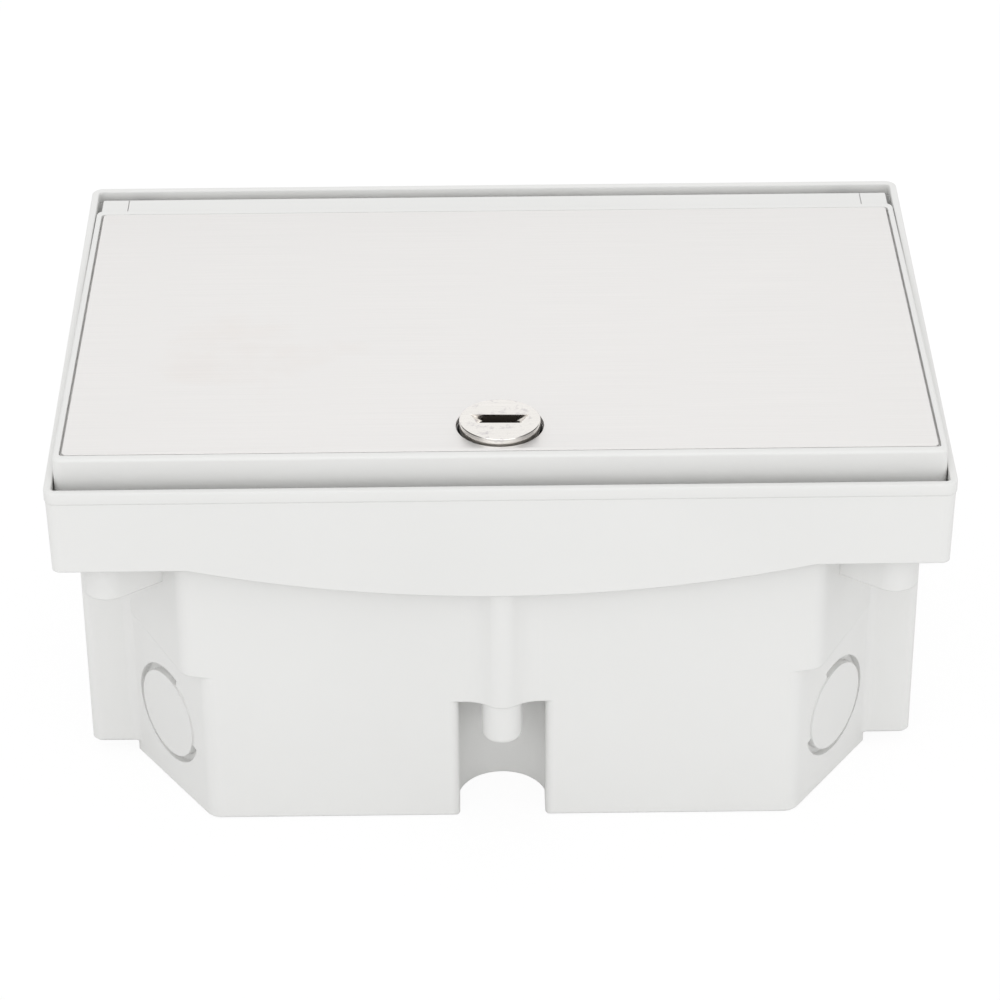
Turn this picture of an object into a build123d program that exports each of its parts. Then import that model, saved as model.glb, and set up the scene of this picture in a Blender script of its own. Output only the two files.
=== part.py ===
import os
from math import atan2, cos, degrees, radians, sin, tan

from build123d import *

# Overall sizes of the floor socket box, in millimetres
box_width = 226.0
box_depth = 158.0
box_height = 106.0
frame_corner = 3.0

# Trim frame round the top and the collar with its skirt below it
rim_wall = 1.9
rim_band_height = 3.4
band_proud = 0.25
tub_edge = 0.5
skirt_depth = 23.7
skirt_draft = 1.0
skirt_thinning = 0.6
skirt_bulge_drop = 8.8
skirt_bulge_inset = 34.0
ledge_drop = 13.0
ledge_thickness = 2.5
throat_gap = 0.6
throat_wall = 2.0
throat_depth = 6.5
seat_gap = 0.3

# Recessed tub
wall = 2.5
floor_thickness = 3.0
front_wall_inset = 6.0
side_wall_inset = 15.4
cut_corner_width = 21.3
corner_angle = 55.0
step_height = 45.2
step_flare = 0.8
step_out = 5.2
corner_round = 4.5
pillar_inset = 3.0
pillar_depth = 10.0
pillar_foot = 2.8
pillar_edge = 0.8
pillar_root = 4.0
pillar_round = 2.6
flange_thickness = 3.0
flange_gap = 1.0
floor_rib_width = 1.6
floor_rib_height = 2.0
floor_hole_radius = 2.75
floor_hole_side_inset = 52.6
floor_hole_wall_inset = 18.0
floor_pad_radius = 6.5
floor_pad_height = 1.0

# Knockouts for 25 mm conduit
knockout_radius = 14.0
knockout_groove = 1.8
knockout_web = 0.7
knockout_raise = 0.4
bridge_start = -18.0
bridge_end = 69.0
knockout_height = 22.8
corner_knockout_along = 19.7
side_knockout_gap = 5.0

# Bosses, guide pins and notches of the tub
ear_inset = 13.0
ear_radius = 6.2
ear_reach = 14.0
ear_bottom = 69.5
boss_radius = 5.8
boss_fillet = 10.0
boss_inset = 2.6
boss_bottom = 37.0
pin_radius = 5.25
pin_bottom = 24.8
pin_round = 1.8
notch_half = 11.2
notch_back_radius = 11.8
notch_back_inset = 7.3
notch_round = 2.2
peg_radius = 1.8
peg_outset = 0.35
collar_screw_side_inset = 17.5
collar_screw_end_inset = 16.2
peg_gap = 0.3
peg_length = 10.0
peg_bore_depth = 11.0

# Lid and its hinge, given for the closed lid
lid_ajar = 2.4
hinge_inset = 9.6
hinge_drop = 6.0
lid_side_gap = 0.25
lid_front_gap = 4.1
lid_depth = 9.5
lid_wall = 2.0
lid_skin = 2.5
lid_corner = 2.0
lid_back_inset = 13.4
strip_back_inset = 5.2
strip_drop = 0.6
strip_end_gap = 8.8
plate_thickness = 1.5
plate_side_border = 2.2
plate_front_border = 2.3
plate_back_border = 3.0
plate_side_gap = 0.6
plate_end_gap = 0.25
plate_proud = 0.15
plate_bevel = 0.4
rib_width = 1.6
rib_pitch = 34.0
rib_pairs = 2
cap_length = 7.3
hinge_pin_radius = 1.5
hinge_pin_length = 16.0
running_gap = 0.06
cap_gap = 0.15
cap_skin = 0.7
hinge_ear_half = 2.5
hinge_ear_inset = 4.3
hinge_ear_gap = 0.5
hinge_ear_radius = 3.2
slot_roof = 1.0
bracket_foot = 17.0
bracket_depth = 9.0
bracket_screw_inset = 6.0
border_round = 0.8
strip_low = 3.6
strip_round = 2.0
strip_top_round = 1.0

# Quarter turn lock
lock_inset = 21.0
lock_radius = 11.0
knob_radius = 10.2
knob_gap = 0.3
knob_proud = 1.9
knob_bevel = 0.25
coin_slot_length = 15.2
coin_slot_floor = 8.4
coin_slot_width = 5.0
coin_slot_back = 1.3
coin_slot_ramp = 1.8
coin_slot_depth = 4.0
cup_wall = 0.4
cup_inset = 0.1
cup_depth = 6.6
cup_floor = 1.2
sleeve_radius = 7.0
sleeve_drop = 15.5
barrel_radius = 5.0
cam_drop = 18.0
cam_stub_radius = 3.0
cam_eye_radius = 6.0
cam_thickness = 2.2
cam_reach = 12.0
cam_width = 8.0
cam_nut_radius = 4.4
cam_nut_thickness = 2.5
cam_window_half = 15.0

# Module carrier and the modules that it holds
carrier_drop = 52.5
sheet = 1.5
carrier_end_gap = 15.9
carrier_side_gap = 1.0
carrier_lip = 10.0
carrier_corner_gap = 7.5
wing_half_depth = 38.0
wing_window_width = 40.0
wing_window_height = 14.0
carrier_screw_inset = 4.5
carrier_screw_y = 30.0
module_columns = 3
module_margin = 19.5
module_spacing = 4.7
module_lip_reach = 1.1
module_lip_height = 3.0
module_round = 2.0
module_gap = 0.3
cable_slot_width = 8.0
cable_slot_length = 66.0
socket_body_depth = 20.5
socket_wall = 2.9
socket_recess_depth = 17.0
contact_pitch = 19.0
contact_hole_radius = 2.7
contact_tube_radius = 3.3
contact_tube_wall = 0.7
contact_tube_length = 5.0
earth_clip_width = 4.0
earth_clip_thickness = 1.2
earth_clip_height = 12.5
data_body_depth = 18.0
jack_side_wall = 3.8
jack_spacing = 4.8
jack_length = 19.0
jack_port_wall = 2.25
jack_port_length = 8.2
jack_port_depth = 12.0
jack_key_width = 5.0
jack_key_length = 2.6
jack_frame_gap = 0.15
jack_inset = 0.4
blank_body_depth = 8.0
blank_wall = 2.0

# Small parts
screw_radius = 1.75
screw_head_radius = 3.1
screw_head_height = 1.4
screw_length = 16.0
screw_slot = 0.9
screw_gap = 0.2
seal_width = 2.4
seal_height = 3.2
seal_wall_gap = 0.2
seal_end_gap = 1.6
divider_thickness = 1.6
divider_gap = 1.5
clamp_side_inset = 27.6
clamp_y = 30.0
clamp_pitch = 20.0
clamp_post_radius = 4.0
clamp_post_height = 9.0
clamp_bore_depth = 8.0
clamp_screw_reach = 7.0
clamp_bar_thickness = 3.0
clamp_bar_width = 8.0
terminal_wall_inset = 33.0
terminal_width = 38.0
terminal_depth = 14.0
terminal_height = 13.0
terminal_wells = 3
terminal_pitch = 12.0
terminal_well_radius = 3.4
terminal_well_depth = 8.0
terminal_screw_radius = 2.8
terminal_screw_height = 4.0
bumper_side_inset = 48.7
bumper_length = 9.0
bumper_width = 3.0
bumper_inset = 1.0
sheet_inset = 0.4
sheet_screw_side_inset = 22.7
sheet_screw_end_inset = 15.6
screw_boss_wall = 2.0

# How near two places must be to count as the same one
same_place = 0.01

# Heights and faces that follow from the sizes above
front_wall_y = box_depth / 2 - front_wall_inset
side_wall_x = box_width / 2 - side_wall_inset
front_corner_x = side_wall_x - cut_corner_width
pillar_x = box_width / 2 - pillar_inset
ear_x = box_width / 2 - ear_inset
ear_y = box_depth / 2 - ear_inset
boss_y = front_wall_y - boss_inset
notch_back_y = front_wall_y - notch_back_inset
peg_y = front_wall_y + peg_outset
collar_screw_x = box_width / 2 - collar_screw_side_inset
collar_screw_y = box_depth / 2 - collar_screw_end_inset
skirt_bulge_half = box_width / 2 - skirt_bulge_inset
hinge_y = box_depth / 2 - hinge_inset
lid_back_y = box_depth / 2 - lid_back_inset
strip_back_y = box_depth / 2 - strip_back_inset
lock_y = box_depth / 2 - lock_inset
floor_hole_x = side_wall_x - floor_hole_side_inset
floor_hole_y = front_wall_y - floor_hole_wall_inset
side_knockout_y = knockout_radius + side_knockout_gap / 2
clamp_x = side_wall_x - clamp_side_inset
terminal_y = front_wall_y - terminal_wall_inset
rim_base = box_height - rim_band_height
skirt_foot = box_height - skirt_depth
skirt_low = skirt_foot - skirt_bulge_drop
ledge_top = box_height - ledge_drop
ledge_base = ledge_top - ledge_thickness
throat_base = ledge_base - throat_depth
flange_top = ledge_base - seat_gap
flange_base = flange_top - flange_thickness
opening_half_width = side_wall_x - wall - throat_gap - throat_wall
opening_half_depth = front_wall_y - wall - throat_gap - throat_wall
rim_inner_x = box_width / 2 - rim_wall
rim_inner_y = box_depth / 2 - rim_wall
skirt_inner_x = rim_inner_x - skirt_thinning
skirt_inner_y = rim_inner_y - skirt_thinning
side_corner_y = front_wall_y - (side_wall_x - front_corner_x) * tan(radians(corner_angle))
hinge_z = box_height - hinge_drop
lid_bottom = box_height - lid_depth
lid_half = rim_inner_x - lid_side_gap
bumper_x = lid_half - bumper_side_inset
sheet_screw_x = lid_half - sheet_screw_side_inset
sheet_screw_y = lid_back_y - sheet_screw_end_inset
lid_front_y = rim_inner_y - lid_front_gap
pocket_floor = box_height - plate_thickness
skin_base = pocket_floor - lid_skin
strip_top = box_height - strip_drop
strip_half = rim_inner_x - strip_end_gap
cam_base = box_height - cam_drop
cam_top = cam_base + cam_thickness
cup_base = box_height - cup_depth
knob_base = cup_base + cup_floor + knob_gap
knob_top = box_height + knob_proud
lid_length = lid_front_y + lid_back_y
lid_middle = (lid_back_y - lid_front_y) / 2
rib_base = lid_bottom + seat_gap + sheet
rib_height = skin_base - rib_base
plate_half = lid_half - plate_side_border
plate_front_y = lid_front_y - plate_front_border
plate_back_y = lid_back_y - plate_back_border
plate_length = plate_front_y + plate_back_y
plate_middle = (plate_back_y - plate_front_y) / 2
ear_centre = strip_half - hinge_ear_inset
bracket_screw_x = ear_centre + hinge_ear_half - bracket_foot + bracket_screw_inset
strip_base = hinge_z - strip_low
sleeve_base = box_height - sleeve_drop
housing_radius = lock_radius - cup_inset
stiffener_base = rib_base - sheet
upper_corner_x = front_corner_x + step_out
flare_top = step_height + step_flare
wing_x = opening_half_width - carrier_side_gap
carrier_half_depth = opening_half_depth - carrier_end_gap
carrier_half_width = wing_x - carrier_corner_gap
carrier_screw_x = wing_x + carrier_lip - carrier_screw_inset
carrier_top = box_height - carrier_drop
carrier_base = carrier_top - sheet
module_pitch = (2 * carrier_half_width - module_margin) / module_columns
module_size = module_pitch - module_spacing
module_lip = module_size + 2 * module_lip_reach
module_face = carrier_top + module_lip_height
socket_recess_radius = module_size / 2 - socket_wall
jack_width = (module_size - jack_spacing) / 2 - jack_side_wall
jack_pitch = jack_width + jack_spacing
jack_port_width = jack_width - 2 * jack_port_wall
cavity_floor = floor_thickness
clamp_base = cavity_floor + clamp_post_height

os.makedirs("parts", exist_ok=True)


def finish(piece, name):
    """Labels a finished piece and writes it under its own name."""
    piece.part.label = name
    export_step(piece.part, f"parts/{name}.step")


def corners(x, y):
    """The four places (plus and minus x, plus and minus y)."""
    return [(sx * x, sy * y) for sx in (-1, 1) for sy in (-1, 1)]


def rounded(width, depth, radius, mode=Mode.ADD):
    """A rectangle with rounded corners, centred on the sketch."""
    RectangleRounded(width, depth, radius, mode=mode)


def tub_outline(corner_x):
    """The tub's outline: a rectangle whose corners are cut off by the knockout faces."""
    points = [(corner_x, -front_wall_y), (side_wall_x, -side_corner_y), (side_wall_x, side_corner_y),
              (corner_x, front_wall_y), (-corner_x, front_wall_y), (-side_wall_x, side_corner_y),
              (-side_wall_x, -side_corner_y), (-corner_x, -front_wall_y)]
    with BuildSketch() as outline:
        Polygon(*points, align=None)
        front_vertices = [v for v in outline.vertices() if abs(abs(v.Y) - front_wall_y) < same_place]
        fillet(front_vertices, corner_round)
    return outline.sketch


def pillars_outline(shrink=0.0):
    """The four corner pillars, which stand out from the side walls."""
    width = pillar_x - side_wall_x + wall
    with BuildSketch() as outline:
        for sx, sy in corners(1, 1):
            with Locations((sx * (pillar_x - width / 2), sy * (side_corner_y - pillar_depth / 2))):
                Rectangle(width - 2 * shrink, pillar_depth - 2 * shrink)
        outer = [v for v in outline.vertices() if abs(v.X) > side_wall_x]
        fillet(outer, pillar_round - shrink / 2)
    return outline.sketch


def pillar_roots():
    """The concave fillets where the pillars' end faces meet the cut corners."""
    half_angle = radians(180 - corner_angle) / 2
    reach = pillar_root / tan(half_angle)
    with BuildSketch() as outline:
        for sx, sy in corners(1, 1):
            corner = Vector(sx * side_wall_x, sy * side_corner_y)
            along_pillar = corner + Vector(sx * reach, 0)
            cut_direction = Vector(-sx * cos(radians(corner_angle)), sy * sin(radians(corner_angle)))
            along_cut = corner + cut_direction * reach
            centre = along_pillar + Vector(0, sy * pillar_root)
            inside = Vector(sx * (side_wall_x - wall), sy * (side_corner_y - wall))
            below = Vector(along_pillar.X, inside.Y)
            Polygon(*[(p.X, p.Y) for p in (inside, below, along_pillar, along_cut)], align=None)
            with Locations((centre.X, centre.Y)):
                Circle(pillar_root, mode=Mode.SUBTRACT)
    return outline.sketch


def notch_outline(grow=0.0):
    """The half-round notches at the foot of the front and back walls."""
    with BuildSketch() as outline:
        for sy in (-1, 1):
            with Locations((0, sy * (notch_back_y))):
                Circle(notch_back_radius + grow)
        Rectangle(2 * (notch_half + grow), 2 * box_depth, mode=Mode.INTERSECT)
        for sy in (-1, 1):
            with Locations((0, sy * (notch_back_y + box_depth / 2))):
                Rectangle(2 * (notch_half + grow), box_depth)
    return outline.sketch


def lid_at(height):
    """The level that has this height on the closed lid, tilted with the lid about its hinge."""
    back = Vector(0, cos(radians(lid_ajar)), -sin(radians(lid_ajar)))
    up = Vector(0, sin(radians(lid_ajar)), cos(radians(lid_ajar)))
    origin = Vector(0, hinge_y, hinge_z) - back * hinge_y + up * (height - hinge_z)
    return Plane(origin=origin, x_dir=(1, 0, 0), z_dir=up)


def lid_section(x):
    """The lid's cross-section at x, with the closed lid's y and z as its directions."""
    back = Vector(0, cos(radians(lid_ajar)), -sin(radians(lid_ajar)))
    return Plane(origin=lid_at(0).origin + Vector(x, 0, 0), x_dir=back, z_dir=(1, 0, 0))


def lid_underside(height):
    """The same level seen from below, for screws that go up into the lid; its y runs forwards."""
    return Plane(origin=lid_at(height).origin, x_dir=(1, 0, 0), z_dir=-lid_at(height).z_dir)


def strip_profile(front_y):
    """The hinge strip's cross-section, rounded along its back edges so that it can swing."""
    with BuildSketch() as outline:
        with Locations(((front_y + strip_back_y) / 2, (strip_top + strip_base) / 2)):
            Rectangle(strip_back_y - front_y, strip_top - strip_base)
        fillet(outline.vertices().group_by(Axis.X)[-1].sort_by(Axis.Y)[-1], strip_top_round)
        fillet(outline.vertices().group_by(Axis.X)[-1].sort_by(Axis.Y)[0], strip_round)
    return outline.sketch


def module_lip_at(x, y):
    """The flat lip by which a module rests on the carrier."""
    with BuildSketch(level(carrier_top)) as outline:
        with Locations((x, y)):
            RectangleRounded(module_lip, module_lip, module_round)
    extrude(outline.sketch, amount=module_lip_height)


def cylinder_at(plane, x, y, radius, height, mode=Mode.ADD):
    """A round boss or bore that rises from this plane at x, y."""
    with BuildSketch(plane) as outline:
        with Locations((x, y)):
            Circle(radius)
    extrude(outline.sketch, amount=height, mode=mode)


def box_at(plane, x, y, width, depth, height, mode=Mode.ADD):
    """A block that rises from this plane, centred at x, y."""
    with BuildSketch(plane) as outline:
        with Locations((x, y)):
            Rectangle(width, depth)
    extrude(outline.sketch, amount=height, mode=mode)


def level(height):
    """The horizontal plane at this height."""
    return Plane.XY.offset(height)


def flat_head_screw(plane, x, y, length):
    """A countersunk screw whose head lies flush with this plane, its shank going down."""
    with BuildSketch(plane) as head:
        with Locations((x, y)):
            Circle(screw_head_radius)
    with BuildSketch(plane.offset(-screw_head_height)) as neck:
        with Locations((x, y)):
            Circle(screw_radius)
    loft(sections=[head.sketch, neck.sketch])
    cylinder_at(plane.offset(-length), x, y, screw_radius, length - screw_head_height)
    box_at(plane, x, y, 2 * screw_head_radius, screw_slot, -screw_slot, mode=Mode.SUBTRACT)


def screw_seat(plane, x, y, depth):
    """The countersink and clearance hole for one flat head screw."""
    with BuildSketch(plane) as head:
        with Locations((x, y)):
            Circle(screw_head_radius + screw_gap)
    with BuildSketch(plane.offset(-screw_head_height)) as neck:
        with Locations((x, y)):
            Circle(screw_radius + screw_gap)
    loft(sections=[head.sketch, neck.sketch], mode=Mode.SUBTRACT)
    cylinder_at(plane, x, y, screw_radius + screw_gap, -depth, mode=Mode.SUBTRACT)


# Recessed tub: the moulded box that is cast into the floor, with knockouts on its cut corners
with BuildPart() as recess_tub:
    with BuildSketch():
        add(tub_outline(front_corner_x))
    extrude(amount=step_height)
    chamfer(recess_tub.edges().group_by(Axis.Z)[0], tub_edge)
    with BuildSketch(level(step_height)):
        add(tub_outline(front_corner_x))
    with BuildSketch(level(flare_top)):
        add(tub_outline(upper_corner_x))
    loft()
    with BuildSketch(level(flare_top)):
        add(tub_outline(upper_corner_x))
    extrude(amount=flange_top - flare_top)
    with BuildSketch(level(pillar_foot)):
        add(pillars_outline())
    extrude(amount=flange_top - pillar_foot)
    pillar_ends = [e for e in recess_tub.edges()
                   if abs(e.center().Z - pillar_foot) < same_place and abs(e.center().X) > side_wall_x]
    chamfer(pillar_ends, pillar_edge)
    with BuildSketch(level(pillar_foot + pillar_edge)):
        add(pillar_roots())
    extrude(amount=flange_top - pillar_foot - pillar_edge)
    # Flange that the collar stands on
    with BuildSketch(level(flange_base)):
        rounded(2 * (skirt_inner_x - flange_gap), 2 * (skirt_inner_y - flange_gap), frame_corner)
    extrude(amount=flange_thickness)
    # Ears for the corner screws, rounded outwards and rooted in the corner
    for sx, sy in corners(1, 1):
        with BuildSketch(level(ear_bottom)):
            with Locations((sx * ear_x, sy * ear_y)):
                Circle(ear_radius)
            inward = Vector(-sx * sin(radians(corner_angle)), -sy * cos(radians(corner_angle)))
            middle = Vector(sx * ear_x, sy * ear_y) + inward * (ear_reach / 2)
            with Locations(Location((middle.X, middle.Y, 0), (0, 0, degrees(atan2(inward.Y, inward.X))))):
                Rectangle(ear_reach, 2 * ear_radius)
        extrude(amount=flange_base - ear_bottom)
    # Half-round bosses in the middle of the front and back walls
    for sy in (-1, 1):
        with BuildSketch(level(boss_bottom)):
            with Locations((0, sy * boss_y)):
                Circle(boss_radius)
            with Locations((0, sy * (front_wall_y - wall / 2))):
                Rectangle(2 * boss_radius + 2 * boss_fillet, wall)
            roots = [v for v in vertices()
                     if abs(abs(v.Y) - front_wall_y) < same_place and abs(v.X) < boss_radius]
            fillet(roots, boss_fillet)
        extrude(amount=flange_base - boss_bottom)
    # Hollow inside
    with BuildSketch(level(cavity_floor)):
        add(tub_outline(front_corner_x))
        offset(amount=-wall, mode=Mode.REPLACE)
        add(notch_outline(wall), mode=Mode.SUBTRACT)
    extrude(amount=boss_bottom - cavity_floor + wall, mode=Mode.SUBTRACT)
    with BuildSketch(level(boss_bottom + wall)):
        add(tub_outline(front_corner_x))
        offset(amount=-wall, mode=Mode.REPLACE)
    extrude(amount=flare_top - boss_bottom - wall, mode=Mode.SUBTRACT)
    with BuildSketch(level(flare_top)):
        add(tub_outline(upper_corner_x))
        offset(amount=-wall, mode=Mode.REPLACE)
    extrude(amount=flange_top - flare_top, mode=Mode.SUBTRACT)
    with BuildSketch(level(pillar_foot + wall)):
        add(pillars_outline(wall))
    extrude(amount=flange_top - pillar_foot - wall, mode=Mode.SUBTRACT)
    # Notches with rounded front corners, and the round pins that hang in them
    with BuildSketch():
        add(notch_outline())
        for sy in (-1, 1):
            with Locations((0, sy * (front_wall_y + box_depth / 2))):
                Rectangle(2 * notch_half + 4 * notch_round, box_depth)
        mouths = [v for v in vertices()
                  if abs(abs(v.Y) - front_wall_y) < same_place and abs(v.X) < notch_half + same_place]
        fillet(mouths, notch_round)
    extrude(amount=boss_bottom, mode=Mode.SUBTRACT)
    for sy in (-1, 1):
        cylinder_at(level(pin_bottom), 0, sy * boss_y, pin_radius, boss_bottom - pin_bottom)
    pin_rims = [e for e in recess_tub.edges().filter_by(GeomType.CIRCLE)
                if abs(e.radius - pin_radius) < same_place and abs(e.center().Z - pin_bottom) < same_place]
    fillet(pin_rims, pin_round)
    # Knockouts on the four cut corners and on the side walls
    faces = []
    for sx, sy in corners(1, 1):
        along = corner_knockout_along
        x = sx * (front_corner_x + along * cos(radians(corner_angle)))
        y = sy * (front_wall_y - along * sin(radians(corner_angle)))
        normal = (sx * sin(radians(corner_angle)), sy * cos(radians(corner_angle)), 0)
        faces.append((-sx * sy, Plane(origin=(x, y, knockout_height), x_dir=(0, 0, 1), z_dir=normal)))
        faces.append((-sx * sy, Plane(origin=(sx * side_wall_x, sy * side_knockout_y, knockout_height),
                                      x_dir=(0, 0, 1), z_dir=(sx, 0, 0))))
    for outward, face_plane in faces:
        # The groove leaves a bridge on the outward side, by which the disc is held
        with BuildSketch(face_plane):
            Circle(knockout_radius)
            Circle(knockout_radius - knockout_groove, mode=Mode.SUBTRACT)
            rays = [radians(a) for a in (bridge_start, (bridge_start + bridge_end) / 2, bridge_end)]
            tips = [(2 * knockout_radius * sin(a), outward * 2 * knockout_radius * cos(a)) for a in rays]
            Polygon((0, 0), *tips, align=None, mode=Mode.SUBTRACT)
        extrude(amount=-(wall - knockout_web), mode=Mode.SUBTRACT)
        with BuildSketch(face_plane):
            Circle(knockout_radius - knockout_groove)
        extrude(amount=knockout_raise)
    # Floor ribs, fixing pads, clamp posts, and holes
    for y in (-floor_hole_y / 2, floor_hole_y / 2):
        box_at(level(cavity_floor), 0, y, 2 * front_corner_x, floor_rib_width, floor_rib_height)
    for x, y in corners(floor_hole_x, floor_hole_y):
        cylinder_at(level(cavity_floor), x, y, floor_pad_radius, floor_pad_height)
        cylinder_at(level(0), x, y, floor_hole_radius, cavity_floor + floor_pad_height, mode=Mode.SUBTRACT)
    for x in (-clamp_x, clamp_x):
        for y in (clamp_y - clamp_pitch / 2, clamp_y + clamp_pitch / 2):
            cylinder_at(level(cavity_floor), x, y, clamp_post_radius, clamp_post_height)
            cylinder_at(level(cavity_floor + clamp_post_height), x, y, screw_radius, -clamp_bore_depth,
                        mode=Mode.SUBTRACT)
    # Bores for the collar's screws and guide pegs
    for x, y in corners(collar_screw_x, collar_screw_y):
        cylinder_at(level(flange_top), x, y, screw_radius, -screw_length, mode=Mode.SUBTRACT)
    for sy in (-1, 1):
        cylinder_at(level(flange_top), 0, sy * peg_y, peg_radius + peg_gap, -peg_bore_depth,
                    mode=Mode.SUBTRACT)
finish(recess_tub, "recess_tub")

# Skirt collar: stands on the tub's flange, hides it with its skirt and carries the lid's ledge
with BuildPart() as skirt_collar:
    skirt_rise = rim_base - skirt_low
    foot_inset = band_proud + skirt_rise * tan(radians(skirt_draft))
    with BuildSketch(level(skirt_low)):
        rounded(box_width - 2 * foot_inset, box_depth - 2 * foot_inset, frame_corner - foot_inset)
    with BuildSketch(level(rim_base)):
        rounded(box_width - 2 * band_proud, box_depth - 2 * band_proud, frame_corner - band_proud)
    loft()
    # Lower edge of the skirt, with the shallow arc on the front and back
    with BuildSketch(Plane.XZ.offset(-box_depth)):
        with BuildLine():
            Polyline((skirt_bulge_half, skirt_foot), (box_width, skirt_foot), (box_width, 0),
                     (-box_width, 0), (-box_width, skirt_foot), (-skirt_bulge_half, skirt_foot))
            ThreePointArc((-skirt_bulge_half, skirt_foot), (0, skirt_low), (skirt_bulge_half, skirt_foot))
        make_face()
    extrude(amount=2 * box_depth, mode=Mode.SUBTRACT)
    with BuildSketch(level(ledge_top)):
        rounded(2 * rim_inner_x, 2 * rim_inner_y, frame_corner - rim_wall)
    extrude(amount=box_height - ledge_top, mode=Mode.SUBTRACT)
    with BuildSketch(level(skirt_low)):
        rounded(2 * skirt_inner_x, 2 * skirt_inner_y, frame_corner - rim_wall)
    extrude(amount=ledge_base - skirt_low, mode=Mode.SUBTRACT)
    with BuildSketch(level(throat_base)):
        add(tub_outline(upper_corner_x))
        offset(amount=-(wall + throat_gap), mode=Mode.REPLACE)
    extrude(amount=throat_depth)
    with BuildSketch(level(throat_base)):
        add(tub_outline(upper_corner_x))
        offset(amount=-(wall + throat_gap + throat_wall), mode=Mode.REPLACE)
    extrude(amount=box_height - throat_base, mode=Mode.SUBTRACT)
    # Window in the throat for the lock's cam
    box_at(level(throat_base), 0, -opening_half_depth - throat_wall / 2, 2 * cam_window_half,
           2 * throat_wall, throat_depth, mode=Mode.SUBTRACT)
    # Guide pegs for the middle bosses
    for sy in (-1, 1):
        cylinder_at(level(ledge_base), 0, sy * peg_y, peg_radius, -peg_length)
    for x, y in corners(collar_screw_x, collar_screw_y):
        screw_seat(level(ledge_top), x, y, ledge_thickness)
    # Bores for the carrier's and the hinge brackets' screws
    for x, y in corners(carrier_screw_x, carrier_screw_y):
        cylinder_at(level(ledge_top), x, y, screw_radius, -ledge_thickness, mode=Mode.SUBTRACT)
    for side in (-1, 1):
        cylinder_at(level(ledge_top), side * bracket_screw_x, hinge_y, screw_radius, -ledge_thickness,
                    mode=Mode.SUBTRACT)
finish(skirt_collar, "skirt_collar")

# Trim frame round the top edge
with BuildPart() as rim_frame:
    with BuildSketch(level(rim_base)):
        rounded(box_width, box_depth, frame_corner)
        rounded(2 * rim_inner_x, 2 * rim_inner_y, frame_corner - rim_wall, mode=Mode.SUBTRACT)
    extrude(amount=rim_band_height)
finish(rim_frame, "rim_frame")


# Seal strip on three sides of the ledge, which the closed lid comes down on
seal_x = rim_inner_x - seal_wall_gap
seal_front_y = lid_front_y + seal_wall_gap
seal_back_y = lid_back_y - seal_end_gap
with BuildPart() as lid_seal:
    with BuildSketch(level(ledge_top)):
        with Locations((0, (seal_back_y - seal_front_y) / 2)):
            Rectangle(2 * seal_x, seal_back_y + seal_front_y)
        with Locations((0, (seal_back_y - seal_front_y) / 2 + seal_width)):
            Rectangle(2 * (seal_x - seal_width), seal_back_y + seal_front_y, mode=Mode.SUBTRACT)
    extrude(amount=seal_height)
finish(lid_seal, "lid_seal")

# Screws that hold the collar down on the tub's corner ears
with BuildPart() as collar_screws:
    for x, y in corners(collar_screw_x, collar_screw_y):
        flat_head_screw(level(ledge_top), x, y, screw_length)
finish(collar_screws, "collar_screws")

# Hinge brackets on the collar's ledge, each with one ear that reaches up into the lid's strip
for side, name in ((-1, "hinge_bracket_left"), (1, "hinge_bracket_right")):
    with BuildPart() as hinge_bracket:
        foot_x = side * (ear_centre + hinge_ear_half - bracket_foot / 2)
        box_at(level(ledge_top), foot_x, hinge_y, bracket_foot, bracket_depth, sheet)
        with BuildSketch(Plane(origin=(side * ear_centre - hinge_ear_half, 0, 0), x_dir=(0, 1, 0),
                               z_dir=(1, 0, 0))):
            with Locations((hinge_y, hinge_z)):
                Circle(hinge_ear_radius)
            with Locations((hinge_y, (ledge_top + hinge_z) / 2)):
                Rectangle(2 * hinge_ear_radius, hinge_z - ledge_top)
            with Locations((hinge_y, hinge_z)):
                Circle(hinge_pin_radius + running_gap, mode=Mode.SUBTRACT)
        extrude(amount=2 * hinge_ear_half)
        screw_seat(level(ledge_top + sheet), side * bracket_screw_x, hinge_y, sheet)
    finish(hinge_bracket, name)

with BuildPart() as bracket_screws:
    for side in (-1, 1):
        flat_head_screw(level(ledge_top + sheet), side * bracket_screw_x, hinge_y, sheet + ledge_thickness)
finish(bracket_screws, "bracket_screws")

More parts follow.
